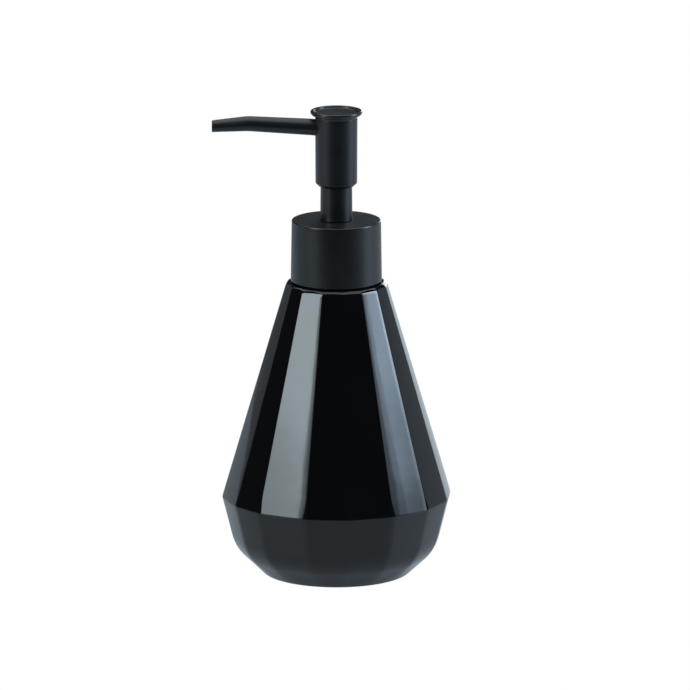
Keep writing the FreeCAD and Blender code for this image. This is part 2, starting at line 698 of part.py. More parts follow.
def spout_line():
    """Stations of the spout's centre line: (distance from the axis, height, radius)."""
    root = (HEAD_TOP_R, SPOUT_Z, SPOUT_ROOT_R)
    bend = (SPOUT_BEND_OUT, SPOUT_Z + SPOUT_BEND_RISE, SPOUT_BEND_R)
    tip = (SPOUT_TIP_OUT, SPOUT_Z + SPOUT_TIP_RISE, SPOUT_TIP_R)

    def along(a, b, share):
        return tuple(p + (q - p) * share for p, q in zip(a, b))

    before = along(bend, root, SPOUT_BEND_EASE / (bend[0] - root[0]))
    after = along(bend, tip, SPOUT_BEND_EASE / (tip[0] - bend[0]))
    inside = along(root, before, -HEAD_TOP_R / (before[0] - root[0]) / 2)
    beyond = along(tip, after, -PAST / (tip[0] - after[0]))
    stations = [inside]
    for i in range(SPOUT_BEND_STEPS + 1):
        share = i / SPOUT_BEND_STEPS
        stations.append(along(along(before, bend, share), along(bend, after, share), share))
    return stations + [beyond]


def spout_tube(radii):
    """Straight-sided tube through the spout's stations, with the given radius at each."""
    stations = spout_line()
    loops = []
    for i, (out, height, own) in enumerate(stations):
        low = stations[max(i - 1, 0)]
        high = stations[min(i + 1, len(stations) - 1)]
        heading = FreeCAD.Vector(-(high[0] - low[0]), 0, high[1] - low[1])
        centre = FreeCAD.Vector(-out, 0, height)
        loops.append(Part.Wire(Part.Circle(centre, heading, radii(own)).toShape()))
    return Part.makeLoft(loops, True, True)


def spout():
    span = SPOUT_TIP_OUT
    window = Part.makeBox(span, span, span, FreeCAD.Vector(-span, -span / 2, SPOUT_Z - span / 2))
    seat = disc(HEAD_TOP_R + PRESS_GAP, SPOUT_Z - span / 2, SPOUT_Z + span / 2)
    left = FreeCAD.Vector(-1, 0, 0)
    tube = spout_tube(lambda own: own).common(window).cut(seat)
    spigot_start = FreeCAD.Vector(-SPIGOT_REACH, 0, SPOUT_Z)
    spigot = Part.makeCylinder(SPIGOT_R, HEAD_TOP_R + PAST - SPIGOT_REACH, spigot_start, left)
    inlet = Part.makeCylinder(SPOUT_BORE, HEAD_TOP_R + PAST, point(0, SPOUT_Z), left)
    return tube.fuse(spigot).cut(spout_tube(lambda own: SPOUT_BORE)).cut(inlet)


def top_cap():
    plug = HEAD_BORE - PRESS_GAP
    pin = CAP_PIN_R + PRESS_GAP
    pin_top = CORE_TOP_Z + CAP_PIN_H + RUN_FIT
    lip_x = CAP_LIP_R - CAP_LIP_ROUND
    lip_z = CREST_Z - CAP_LIP_ROUND
    meet = math.radians(CAP_LIP_ANGLE)
    flare_end = (lip_x + CAP_LIP_ROUND * math.cos(meet), lip_z - CAP_LIP_ROUND * math.sin(meet))
    return turned(
        (0.0, pin_top),
        (pin, pin_top),
        (pin, CORE_TOP_Z + PRESS_GAP),
        (plug, CORE_TOP_Z + PRESS_GAP),
        (plug, SEAM_Z + PRESS_GAP),
        bowed((HEAD_TOP_R, SEAM_Z + PRESS_GAP), flare_end, -CAP_FLARE_BOW),
        arc(flare_end, (CAP_LIP_R, lip_z), (lip_x, CREST_Z)),
        (lip_x - CAP_DISH_EASE_W, CREST_Z - CAP_DISH_EASE_H),
        (lip_x - CAP_DISH, CREST_Z - CAP_DISH),
        (0.0, CREST_Z - CAP_DISH),
    )


PIECES = [
    bottle, neck_insert, insert_seal,
    closure_nut, collar_shell,
    neck_gasket, pump_housing, guide_sleeve, guide_sheath, ball_cage, return_spring, inlet_ball, dip_tube,
    piston,
    stem, piston_rod, outlet_ball, head_shell, head_core, spout, top_cap,
]

os.makedirs("parts", exist_ok=True)
for piece in PIECES:
    solid = piece()
    assert solid.isValid() and len(solid.Solids) == 1, piece.__name__
    solid.Solids[0].exportStep(f"parts/{piece.__name__}.step")

print(f"height {CREST_Z:.2f}, ridge {2 * RIDGE_R:.2f} from corner to corner, spout reach {SPOUT_TIP_OUT:.2f}")
print(f"ball seats at {INLET_BALL_Z:.2f} and {OUTLET_BALL_Z:.2f}; spring {SPRING_Z:.2f} to {ROD_Z:.2f}")
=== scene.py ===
"""Looks of the soap pump dispenser: glazed bottle, matte pump, hidden works, studio and camera."""

import json
import math

import bmesh
import bpy
from mathutils import Matrix, Vector, noise

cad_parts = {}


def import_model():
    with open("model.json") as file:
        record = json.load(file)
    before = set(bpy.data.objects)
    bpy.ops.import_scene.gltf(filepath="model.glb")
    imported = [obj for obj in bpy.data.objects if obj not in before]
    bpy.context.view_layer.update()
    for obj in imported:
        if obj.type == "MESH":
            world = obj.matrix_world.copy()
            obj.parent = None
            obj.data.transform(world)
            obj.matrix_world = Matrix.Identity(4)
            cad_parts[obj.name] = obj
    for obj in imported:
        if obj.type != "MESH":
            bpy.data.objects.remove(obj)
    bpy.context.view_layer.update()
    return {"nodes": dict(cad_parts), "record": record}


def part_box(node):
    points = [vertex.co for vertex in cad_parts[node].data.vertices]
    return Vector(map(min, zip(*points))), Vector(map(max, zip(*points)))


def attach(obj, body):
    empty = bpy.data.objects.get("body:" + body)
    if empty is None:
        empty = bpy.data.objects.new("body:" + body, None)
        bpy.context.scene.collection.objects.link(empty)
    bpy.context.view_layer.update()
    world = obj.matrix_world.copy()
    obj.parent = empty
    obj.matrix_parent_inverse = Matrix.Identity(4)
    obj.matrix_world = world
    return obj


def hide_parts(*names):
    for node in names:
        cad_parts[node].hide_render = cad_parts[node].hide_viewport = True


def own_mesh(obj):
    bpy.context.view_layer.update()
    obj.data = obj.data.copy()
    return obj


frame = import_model()

MM = 0.001
END_PART = 0.2            # the short part next to the end of a long straight, in mm
BEND_FULL = 9.0           # a profile that turns by this many degrees at a point counts as an edge
AXIS_R = 0.01             # a profile point closer to the axis than this, in mm, is on it
FILLET_SHARE = 0.49       # the most of a side that a round corner may take up

# ---------------------------------------------------------------------------
# helpers
# ---------------------------------------------------------------------------


def srgb(red, green, blue):
    """Linear colour of an 8-bit display colour."""
    def channel(value):
        value /= 255.0
        return value / 12.92 if value <= 0.04045 else ((value + 0.055) / 1.055) ** 2.4

    return (channel(red), channel(green), channel(blue), 1.0)


def fillet(corner, before, after, radius, steps):
    """Points of a round corner between the lines to the points before and after it."""
    corner, before, after = Vector(corner), Vector(before), Vector(after)
    to_before = (before - corner).normalized()
    to_after = (after - corner).normalized()
    half = to_before.angle(to_after) / 2.0
    reach = radius / math.tan(half)
    reach = min(reach, (before - corner).length * FILLET_SHARE, (after - corner).length * FILLET_SHARE)
    radius = reach * math.tan(half)
    centre = corner + (to_before + to_after).normalized() * (radius / math.sin(half))
    start = corner + to_before * reach - centre
    end = corner + to_after * reach - centre
    sweep = start.angle(end)
    points = []
    for i in range(steps + 1):
        share = i / steps
        mix = (start * math.sin((1 - share) * sweep) + end * math.sin(share * sweep)) / math.sin(sweep)
        points.append(centre + mix)
    return points


def rounded(corners, closed=True, steps=5):
    """A profile from (radius, height, rounding) corners; a rounding of 0 leaves the corner sharp."""
    points = []
    count = len(corners)
    for i, (r, z, rounding) in enumerate(corners):
        inner = closed or 0 < i < count - 1
        if rounding and inner:
            before = corners[i - 1][:2]
            after = corners[(i + 1) % count][:2]
            points += fillet((r, z), before, after, rounding, steps)
        else:
            points.append(Vector((r, z)))
    return points


def divided(points, longest, closed=True):
    """The same profile with its long edges divided, and a short part at each end to keep them flat."""
    result = []
    count = len(points)
    for i in range(count if closed else count - 1):
        start, end = points[i], points[(i + 1) % count]
        length = (end - start).length
        parts = math.ceil(length / longest)
        if parts < 2:
            result.append(start)
            continue
        stops = [0.0, END_PART / length] + [k / parts for k in range(1, parts)] + [1.0 - END_PART / length]
        result += [start.lerp(end, stop) for stop in stops]
    if not closed:
        result.append(points[-1])
    return result


def mesh_object(name, bm, sharp_deg=30.0):
    """An object from a bmesh, smooth except along edges sharper than an angle."""
    bmesh.ops.recalc_face_normals(bm, faces=bm.faces)
    mesh = bpy.data.meshes.new(name)
    bm.to_mesh(mesh)
    bm.free()
    mesh.polygons.foreach_set("use_smooth", [True] * len(mesh.polygons))
    mesh.set_sharp_from_angle(angle=math.radians(sharp_deg))
    obj = bpy.data.objects.new(name, mesh)
    bpy.context.scene.collection.objects.link(obj)
    return obj


def loft(loops, ring=False):
    """A bmesh skin over loops of points; a loop of one point closes an end; ring joins last to first."""
    bm = bmesh.new()
    rows = [[bm.verts.new(p) for p in loop] for loop in loops]
    pairs = list(zip(rows, rows[1:]))
    if ring:
        pairs.append((rows[-1], rows[0]))
    for low, high in pairs:
        count = max(len(low), len(high))
        for i in range(count):
            j = (i + 1) % count
            corners = (low[i % len(low)], low[j % len(low)], high[j % len(high)], high[i % len(high)])
            bm.faces.new(list(dict.fromkeys(corners)))
    return bm


def bends(profile, ring):
    """How sharply a profile turns at each of its points, from 0 on straights to 1 on round corners."""
    count = len(profile)
    result = []
    for i, p in enumerate(profile):
        if not ring and i in (0, count - 1):
            result.append(0.0)
            continue
        back, on = p - profile[i - 1], profile[(i + 1) % count] - p
        result.append(min(1.0, back.angle(on) / math.radians(BEND_FULL)))
    return result


def mark(piece, name, values):
    """Stores a value for each vertex of a piece."""
    piece.data.attributes.new(name, "FLOAT", "POINT").data.foreach_set("value", values)


def lathe(name, corners, segments=160, longest=4.0, sharp_deg=30.0, steps=5):
    """A turned piece from a profile of (radius, height, rounding) in mm, closed or ending on the axis."""
    ring = corners[0][0] > 0.0
    profile = divided(rounded(corners, ring, steps), longest, ring)
    turns = [2.0 * math.pi * i / segments for i in range(segments)]
    loops = []
    edges = []
    for p, bend in zip(profile, bends(profile, ring)):
        around = turns if p.x > AXIS_R else turns[:1]
        loops.append([Vector((p.x * math.cos(t), p.x * math.sin(t), p.y)) * MM for t in around])
        edges += [bend] * len(around)
    piece = mesh_object(name, loft(loops, ring), sharp_deg)
    mark(piece, "edge", edges)
    return piece


def cut_with(obj, cutter):
    """Cuts a helper object out of a piece for good."""
    step = obj.modifiers.new("cut", "BOOLEAN")
    step.operation = "DIFFERENCE"
    step.solver = "EXACT"
    step.object = cutter
    depsgraph = bpy.context.evaluated_depsgraph_get()
    mesh = bpy.data.meshes.new_from_object(obj.evaluated_get(depsgraph))
    obj.modifiers.clear()
    obj.data = mesh
    bpy.data.objects.remove(cutter)
    return obj


def size_of(node):
    """(largest radius, lowest, highest) of a turned CAD node, in millimetres."""
    low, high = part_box(node)
    return high.y / MM, low.z / MM, high.z / MM


def place(piece, body, node):
    """Puts a finished piece on its body, in place of its CAD node."""
    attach(piece, body)
    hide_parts(node)
    return piece


# ---------------------------------------------------------------------------
# materials
# ---------------------------------------------------------------------------


class Nodes:
    """A material's node tree with short calls for the few nodes used here."""

    def __init__(self, name):
        self.material = bpy.data.materials.new(name)
        self.material.use_nodes = True
        self.tree = self.material.node_tree
        self.shader = next(n for n in self.tree.nodes if n.type == "BSDF_PRINCIPLED")
        self.place = self.tree.nodes.new("ShaderNodeTexCoord").outputs["Object"]

    def link(self, output, socket):
        self.tree.links.new(output, socket)

    def noise(self, size, detail=2.0, rough=0.5, stretch=None):
        """Noise with features about as large as size, in millimetres."""
        texture = self.tree.nodes.new("ShaderNodeTexNoise")
        texture.inputs["Scale"].default_value = 1.0 / (size * MM)
        texture.inputs["Detail"].default_value = detail
        texture.inputs["Roughness"].default_value = rough
        if stretch:
            mapping = self.tree.nodes.new("ShaderNodeMapping")
            mapping.inputs["Scale"].default_value = stretch
            self.link(self.place, mapping.inputs["Vector"])
            self.link(mapping.outputs["Vector"], texture.inputs["Vector"])
        else:
            self.link(self.place, texture.inputs["Vector"])
        return texture.outputs["Fac"]

    def between(self, factor, low, high, start=0.3, end=0.7):
        """The factor's range from start to end, mapped from low to high."""
        node = self.tree.nodes.new("ShaderNodeMapRange")
        node.inputs["From Min"].default_value = start
        node.inputs["From Max"].default_value = end
        node.inputs["To Min"].default_value = low
        node.inputs["To Max"].default_value = high
        self.link(factor, node.inputs["Value"])
        return node.outputs["Result"]

    def mix(self, factor, first, second):
        """A colour between two colours."""
        node = self.tree.nodes.new("ShaderNodeMix")
        node.data_type = "RGBA"
        self.link(factor, node.inputs["Factor"])
        for socket, value in ((node.inputs[6], first), (node.inputs[7], second)):
            if isinstance(value, tuple):
                socket.default_value = value
            else:
                self.link(value, socket)
        return node.outputs[2]

    def attribute(self, name):
        node = self.tree.nodes.new("ShaderNodeAttribute")
        node.attribute_name = name
        return node.outputs["Fac"]

    def bump(self, height, depth, strength=1.0, normal=None):
        """A bump of the given depth in millimetres."""
        node = self.tree.nodes.new("ShaderNodeBump")
        node.inputs["Strength"].default_value = strength
        node.inputs["Distance"].default_value = depth * MM
        self.link(height, node.inputs["Height"])
        if normal:
            self.link(normal, node.inputs["Normal"])
        return node.outputs["Normal"]

    def set(self, **values):
        """Values or links on the shader's own sockets; spaces in names are underscores."""
        for name, value in values.items():
            socket = self.shader.inputs[name.replace("_", " ")]
            if isinstance(value, bpy.types.NodeSocket):
                self.link(value, socket)
            else:
                socket.default_value = value
        return self


def black_glaze():
    """Thick glossy black glaze: slow ripples, faint orange peel, a little greyer on edges, partly where it
    thins and partly as a painted highlight.
    """
    m = Nodes("black_glaze")
    edge = m.between(m.attribute("edge"), low=0.0, high=1.0, start=0.35, end=1.0)
    tone = m.mix(m.noise(size=22.0, detail=3.0), (0.0018, 0.0019, 0.0022, 1), (0.0028, 0.0029, 0.0032, 1))
    # the greyer colour on the upright edges and the ridge is partly thinned glaze and partly a painted
    # highlight
    colour = m.mix(edge, tone, (0.0042, 0.0042, 0.0044, 1))
    ripple = m.bump(m.noise(size=9.0, detail=1.0), depth=0.05, strength=0.35)
    peel = m.bump(m.noise(size=0.9), depth=0.004, strength=0.5, normal=ripple)
    gloss = m.between(m.noise(size=14.0, detail=4.0), low=0.045, high=0.085)
    m.set(Base_Color=colour, Roughness=gloss, Normal=peel, IOR=1.47)
    return m.material


def bisque():
    """Unglazed foot ring: fine dry grey clay."""
    m = Nodes("bisque")
    speck = m.noise(size=0.5, detail=4.0, rough=0.7)
    colour = m.mix(m.between(speck, low=0.0, high=1.0), srgb(150, 143, 134), srgb(186, 180, 171))
    m.set(Base_Color=colour, Roughness=0.86, Normal=m.bump(speck, depth=0.04))
    return m.material


def matte_black():
    """Fine spark-eroded black plastic, faintly blue, rubbed smoother on its edges and lighter there: partly
    rubbed wear, partly a painted highlight.
    """
    m = Nodes("matte_black")
    grain = m.noise(size=0.22, detail=3.0, rough=0.6)
    cloud = m.noise(size=11.0, detail=3.0)
    rub_and_sheen = m.between(m.attribute("edge"), low=0.0, high=1.0, start=0.1, end=0.9)
    clouded = m.between(cloud, low=0.0, high=1.0)
    tone = m.mix(clouded, (0.0044, 0.0052, 0.0066, 1), (0.0062, 0.0072, 0.0090, 1))
    # the lighter colour on the edges is partly rubbed wear and partly a painted highlight
    colour = m.mix(rub_and_sheen, tone, (0.0105, 0.0120, 0.0145, 1))
    gloss = m.tree.nodes.new("ShaderNodeMath")
    gloss.operation = "MULTIPLY"
    m.link(m.between(cloud, low=0.35, high=0.41), gloss.inputs[0])
    m.link(m.between(rub_and_sheen, low=1.0, high=0.62, start=0.0, end=1.0), gloss.inputs[1])
    m.set(Base_Color=colour, Roughness=gloss.outputs[0], IOR=1.53)
    m.set(Normal=m.bump(grain, depth=0.012, strength=0.6))
    return m.material


def moulded(name, dark, light, gloss, skin=0.01, **more):
    """Plain moulded plastic or rubber with flow clouds and a fine skin, from two colours and roughnesses."""
    m = Nodes(name)
    cloud = m.noise(size=6.0, detail=3.0)
    colour = m.mix(m.between(cloud, low=0.0, high=1.0), (*dark, 1), (*light, 1))
    m.set(Base_Color=colour, Roughness=m.between(cloud, *gloss), **more)
    m.set(Normal=m.bump(m.noise(size=0.35), depth=skin, strength=0.6))
    return m.material


def steel(name, gloss, drawn=None):
    """Stainless steel, with drawing marks along the wire or an even polish."""
    m = Nodes(name)
    marks = m.noise(size=0.4, detail=4.0, rough=0.6, stretch=drawn)
    colour = m.mix(m.between(marks, low=0.0, high=1.0), (0.44, 0.44, 0.45, 1), (0.62, 0.62, 0.62, 1))
    m.set(Base_Color=colour, Metallic=1.0, Roughness=m.between(marks, *gloss))
    m.set(Normal=m.bump(marks, depth=0.004, strength=0.5))
    return m.material


# name, darker colour, lighter colour, lowest and highest roughness, further settings
MOULDED = [
    ("inner_black_plastic", (0.012, 0.012, 0.013), (0.018, 0.018, 0.019), (0.34, 0.46), {}),
    ("natural_plastic", (0.70, 0.70, 0.66), (0.80, 0.80, 0.77), (0.32, 0.44),
     {"Transmission_Weight": 0.15, "IOR": 1.49}),
    ("piston_plastic", (0.80, 0.82, 0.83), (0.88, 0.89, 0.90), (0.36, 0.5), {}),
    ("tube_plastic", (0.76, 0.79, 0.80), (0.84, 0.86, 0.86), (0.26, 0.36),
     {"Transmission_Weight": 0.45, "IOR": 1.51}),
    ("rubber_seal", (0.016, 0.016, 0.017), (0.024, 0.024, 0.025), (0.6, 0.75), {"skin": 0.02}),
    ("foam_gasket", (0.70, 0.70, 0.68), (0.82, 0.82, 0.80), (0.7, 0.85), {"skin": 0.05}),
]

MATERIALS = {name: moulded(name, dark, light, gloss, **more) for name, dark, light, gloss, more in MOULDED}
MATERIALS["black_glaze"] = black_glaze()
MATERIALS["matte_black"] = matte_black()
MATERIALS["spring_steel"] = steel("spring_steel", (0.22, 0.36), drawn=(1.0, 1.0, 6.0))
MATERIALS["ball_steel"] = steel("ball_steel", (0.06, 0.12))


def paint(obj, *materials):
    """Gives an object these materials and nothing else."""
    obj.data.materials.clear()
    for material in materials:
        obj.data.materials.append(material)


# ---------------------------------------------------------------------------
# bottle
# ---------------------------------------------------------------------------

FACETS = 16
FACET_TURN = 7.0          # turn of the first upright edge from +X, in degrees
CUT_EDGE = 10             # the one upright edge that was cut out of place,
CUT_SHIFT = -4.0          # and by how many degrees
EDGE_ROUND = 1.2          # rounding of the upright edges over the ridge, mm
LOW_EDGE_ROUND = 8.0      # and under it
EDGE_ROUND_SHARE = 0.2    # and at most this share of the radius there
SOFT_FROM, SOFT_TO = -3.0, 7.0    # from the ridge, where one rounding turns into the other
FACET_SWELL = 0.22        # how far the facets swell towards the round, as a share
WAVE = 0.05               # hand-made unevenness of the surface, mm
WAVE_LENGTH = 26.0
STILL_FROM, STILL_TO = 1.0, 7.0   # from the foot and the rim, where the unevenness sets in
EDGE_STEPS = 6
FLAT_STEPS = 8

RIDGE_R, RIDGE_Z = 42.8, 29.4
CHAMFER_R, CHAMFER_Z = 37.9, 9.9
CHAMFER_ROUND = 17.0      # the row under the band runs softly into it
CHAMFER_FOOT_R, FOOT_IN = 27.4, 0.4     # foot of that row, and how far the standing ring keeps inside it
SHOULDER_R = 18.7
RIM_Z = size_of("bottle")[2]
MOUTH_R, MOUTH_H = 13.0, 10.4
WALL = 4.2
FLOOR = 5.2
HOLLOW_TOP = RIM_Z - MOUTH_H
HOLLOW_CHAMFER_WALL = 1.1     # walls between the chamfer and the hollow
HOLLOW_CHAMFER_RISE = 1.5     # how much higher the hollow's chamfer lies
HOLLOW_FOOT_IN = 2.0
RECESS_R, RECESS_H = 21.0, 1.2
RECESS_REACH = 0.5        # what lies this near the recess is round
MOUTH_REACH, MOUTH_DEPTH = 3.0, 4.0     # and so is what lies this near the mouth's bore and lower end
RIDGE_REACH, RIDGE_EDGE = 2.0, 0.9      # how near the ridge its greyer edge lies, inward and in height; that colour is partly worn glaze and partly a painted highlight
ROUND_FROM, ROUND_TO = 0.7, 0.05  # below the rim, where the facets run out into the round rim
FOOT_RUN_OUT = 6.5        # height at which the round foot has become the facetted row
BARE_H = 0.25             # the foot ring has no glaze up to this height


def section(corner_r, roundness, edge_round):
    """Outline of the bottle between facetted and round: (point, nearness to an upright edge) pairs."""
    turns = [FACET_TURN + 360.0 * k / FACETS + (CUT_SHIFT if k == CUT_EDGE else 0.0) for k in range(FACETS)]
    corners = [Vector((math.cos(math.radians(t)), math.sin(math.radians(t)))) * corner_r for t in turns]
    radius = min(edge_round, corner_r * EDGE_ROUND_SHARE)
    arcs = []
    for k, corner in enumerate(corners):
        arcs.append(fillet(corner, corners[k - 1], corners[(k + 1) % FACETS], radius, EDGE_STEPS))
    outline = []
    for k, arc in enumerate(arcs):
        after = arcs[(k + 1) % FACETS][0]
        outline += [(p, 1.0 - abs(2.0 * i / EDGE_STEPS - 1.0)) for i, p in enumerate(arc)]
        outline += [(arc[-1].lerp(after, j / FLAT_STEPS), 0.0) for j in range(1, FLAT_STEPS)]
    crown = max(p.length for p, near in outline)
    target = crown + (corner_r - crown) * roundness
    share = FACET_SWELL + (1.0 - FACET_SWELL) * roundness
    return [(p.normalized() * (p.length + (target - p.length) * share), near) for p, near in outline]


def smooth_step(value, start, end):
    """A smooth step from 0 at start to 1 at end."""
    share = min(1.0, max(0.0, (value - start) / (end - start)))
    return share * share * (3.0 - 2.0 * share)


def bottle_profile():
    """The bottle's outline from the middle of its underside, up the outside and down to its floor."""
    side = WALL / math.cos(math.pi / FACETS)
    inner_top = RIDGE_R + (SHOULDER_R - RIDGE_R) * (HOLLOW_TOP - RIDGE_Z) / (RIM_Z - RIDGE_Z) - side
    corners = [                                 # radius, height, rounding
        (0.0, RECESS_H, 0.0),
        (RECESS_R - RECESS_H, RECESS_H, 0.5),
        (RECESS_R, 0.0, 0.4),
        (CHAMFER_FOOT_R - FOOT_IN, 0.0, 2.6),
        (CHAMFER_R, CHAMFER_Z, CHAMFER_ROUND),
        (RIDGE_R, RIDGE_Z, 1.4),
        (SHOULDER_R, RIM_Z, 2.3),
        (MOUTH_R, RIM_Z, 0.5),
        (MOUTH_R, HOLLOW_TOP, 0.8),
        (inner_top, HOLLOW_TOP, 3.0),
        (RIDGE_R - side, RIDGE_Z, 6.0),
        (CHAMFER_R - side * HOLLOW_CHAMFER_WALL, CHAMFER_Z + HOLLOW_CHAMFER_RISE, 8.0),
        (CHAMFER_FOOT_R - HOLLOW_FOOT_IN, FLOOR, 4.0),
        (0.0, FLOOR, 0.0),
    ]
    return divided(rounded(corners, closed=False, steps=7), longest=2.6, closed=False)


def roundness_at(r, z):
    """0 where the bottle is facetted and 1 where it is round."""
    in_recess = r <= RECESS_R + RECESS_REACH and z < FLOOR / 2
    in_mouth = r < MOUTH_R + MOUTH_REACH and z > HOLLOW_TOP - MOUTH_DEPTH
    if in_recess or in_mouth:
        return 1.0
    rim = smooth_step(z, RIM_Z - ROUND_FROM, RIM_Z - ROUND_TO)
    return max(rim, 1.0 - smooth_step(z, 0.0, FOOT_RUN_OUT))


def bottle_loop(r, z):
    """One level of the bottle: its points in metres, and how much of an edge each is."""
    if r < AXIS_R:
        return [Vector((0.0, 0.0, z)) * MM], [0.0]
    roundness = roundness_at(r, z)
    soft = 1.0 - smooth_step(z, RIDGE_Z + SOFT_FROM, RIDGE_Z + SOFT_TO)
    edge_round = EDGE_ROUND + (LOW_EDGE_ROUND - EDGE_ROUND) * soft
    ridge = max(0.0, 1.0 - abs(z - RIDGE_Z) / RIDGE_EDGE) if r > RIDGE_R - RIDGE_REACH else 0.0
    unevenness = smooth_step(min(z, RIM_Z - z), STILL_FROM, STILL_TO)
    loop = []
    edges = []
    for flat, near in section(r, roundness, edge_round):
        spot = Vector((flat.x, flat.y, z))
        wave = noise.noise(spot / WAVE_LENGTH) * WAVE * unevenness
        outward = Vector((flat.x, flat.y, 0.0)).normalized()
        loop.append((spot + outward * wave) * MM)
        edges.append(max(near * (1.0 - roundness), ridge))
    return loop, edges


def bottle():
    loops = []
    edges = []
    for p in bottle_profile():
        loop, near = bottle_loop(p.x, p.y)
        loops.append(loop)
        edges += near
    bm = loft(loops)
    for face in bm.faces:
        middle = face.calc_center_median() / MM
        out = math.hypot(middle.x, middle.y)
        face.material_index = 1 if middle.z < BARE_H and out > RECESS_R - RECESS_H / 2 else 0
    piece = mesh_object("bottle_glazed", bm, sharp_deg=50.0)
    mark(piece, "edge", edges)
    paint(piece, MATERIALS["black_glaze"], bisque())
    return place(piece, "bottle_body", "bottle")


# ---------------------------------------------------------------------------
# visible pump pieces
# ---------------------------------------------------------------------------

COLLAR_FLARE = 0.38       # how much wider the collar is at its foot
COLLAR_BORE = 15.3
COLLAR_HOLE = 5.6
COLLAR_PLATE = 1.3
SHEATH_FLARE = 0.12
SHEATH_BORE = 5.37
SHEATH_LIP_R, SHEATH_LIP_T = 4.75, 0.48

HEAD_R, HEAD_LOW, HEAD_HIGH = size_of("head_shell")
HEAD_TAPER = 0.11
HEAD_WALL = 1.25
HEAD_CHAMFER = 1.3
HEAD_LIP_R, HEAD_LIP_T = 6.12, 0.9
CHAMFER_EASE = 0.03       # the inside follows the chamfer from this much higher up

CAP_CORE_R, CAP_CORE_H = 2.02, 2.03     # hollow in the plug of the cap
CAP_PLUG_FIT = 0.02
CAP_SEAM = 0.02
CAP_WAIST_OUT, CAP_WAIST_H = 0.15, 0.85
CAP_LIP_IN, CAP_LIP_H = 0.45, 1.55      # underside of the lip, in from its edge and down from the top
CAP_EDGE_H = 0.85
CAP_TOP_IN = 0.12
CAP_DISH_RIM, CAP_DISH_IN = 1.35, 1.75  # the dish's upper and lower edge, in from the lip
CAP_DISH_H, CAP_DISH_SAG = 0.8, 0.06

SPOUT_LINE = [            # distance from the axis, height over the spout's root, outer radius
    (7.0, 0.0, 3.1),
    (32.7, 1.4, 2.8),
    (46.0, 0.4, 2.2),
]
SPOUT_DROP = 3.6          # from the head's upper end down to the spout's root
SPOUT_Z = HEAD_HIGH - SPOUT_DROP
SPOUT_BORE = 1.3
SPOUT_SEGMENTS = 72
BEND_EASE = 1.6           # on either side of the spout's bend
ROOT_STEPS, BEND_STEPS, TIP_STEPS = 10, 6, 6
TIP_ROUND, TIP_ROUND_STEPS = 0.28, 4
OUTLET_FLARE, OUTLET_EASE = 1.15, 0.25
SEAT_GAP = 0.01           # between the head and the spout's saddle
SPIGOT_R = 2.4
SPIGOT_END = 2.0          # distance of the spigot's end from the axis
SPIGOT_FIT = 0.05
SPIGOT_HOLE = (-12.5, -2.5)     # where the hole for the spigot starts and ends, along X


def collar():
    foot_r, low, high = size_of("collar_shell")
    piece = lathe("collar_cover", [
        (COLLAR_BORE, low, 0.1),
        (foot_r, low, 0.3),
        (foot_r - COLLAR_FLARE, high, 0.42),
        (COLLAR_HOLE, high, 0.15),
        (COLLAR_HOLE, high - COLLAR_PLATE, 0.0),
        (COLLAR_BORE, high - COLLAR_PLATE, 0.3),
    ], segments=224, longest=2.5)
    paint(piece, MATERIALS["matte_black"])
    return place(piece, "collar", "collar_shell")


def sheath():
    foot_r, low, high = size_of("guide_sheath")
    piece = lathe("guide_tube_cover", [
        (SHEATH_BORE, low, 0.0),
        (foot_r, low, 0.5),
        (foot_r - SHEATH_FLARE, high, 0.45),
        (SHEATH_LIP_R, high, 0.12),
        (SHEATH_LIP_R, high - SHEATH_LIP_T, 0.0),
        (SHEATH_BORE, high - SHEATH_LIP_T, 0.0),
    ], segments=128, longest=2.0)
    paint(piece, MATERIALS["matte_black"])
    return place(piece, "pump_body", "guide_sheath")


def head():
    foot_r = HEAD_R - HEAD_TAPER
    bore = HEAD_R - HEAD_WALL
    piece = lathe("head_cylinder", [
        (HEAD_LIP_R, HEAD_LOW, 0.12),
        (foot_r - HEAD_CHAMFER, HEAD_LOW, 0.25),
        (foot_r, HEAD_LOW + HEAD_CHAMFER, 0.35),
        (HEAD_R, HEAD_HIGH, 0.08),
        (bore, HEAD_HIGH, 0.0),
        (bore, HEAD_LOW + HEAD_CHAMFER + CHAMFER_EASE, 0.2),
        (HEAD_LIP_R, HEAD_LOW + HEAD_LIP_T, 0.1),
    ], segments=192, longest=1.2)
    bm = bmesh.new()
    radius = (SPIGOT_R + SPIGOT_FIT) * MM
    start, end = SPIGOT_HOLE
    bmesh.ops.create_cone(
        bm, cap_ends=True, segments=48, radius1=radius, radius2=radius, depth=(end - start) * MM)
    cutter = mesh_object("cutter", bm)
    cutter.data.transform(Matrix.Rotation(math.radians(90), 4, "Y"))
    cutter.data.transform(Matrix.Translation(Vector(((start + end) / 2, 0, SPOUT_Z)) * MM))
    cut_with(piece, cutter)
    paint(piece, MATERIALS["matte_black"])
    return place(piece, "head", "head_shell")


def cap():
    lip_r, low, high = size_of("top_cap")
    plug = HEAD_R - HEAD_WALL - CAP_PLUG_FIT
    seam = HEAD_HIGH + CAP_SEAM
    piece = lathe("press_cap", [
        (0.0, low + CAP_CORE_H, 0.0),
        (CAP_CORE_R, low + CAP_CORE_H, 0.0),
        (CAP_CORE_R, low, 0.0),
        (plug, low, 0.15),
        (plug, seam, 0.0),
        (HEAD_R, seam, 0.06),
        (HEAD_R + CAP_WAIST_OUT, seam + CAP_WAIST_H, 1.0),
        (lip_r - CAP_LIP_IN, high - CAP_LIP_H, 0.5),
        (lip_r, high - CAP_EDGE_H, 0.55),
        (lip_r - CAP_TOP_IN, high, 0.72),
        (lip_r - CAP_DISH_RIM, high, 0.45),
        (lip_r - CAP_DISH_IN, high - CAP_DISH_H, 0.5),
        (0.0, high - CAP_DISH_H - CAP_DISH_SAG, 0.0),
    ], segments=192, longest=1.5, sharp_deg=40.0, steps=7)
    paint(piece, MATERIALS["matte_black"])
    return place(piece, "head", "top_cap")


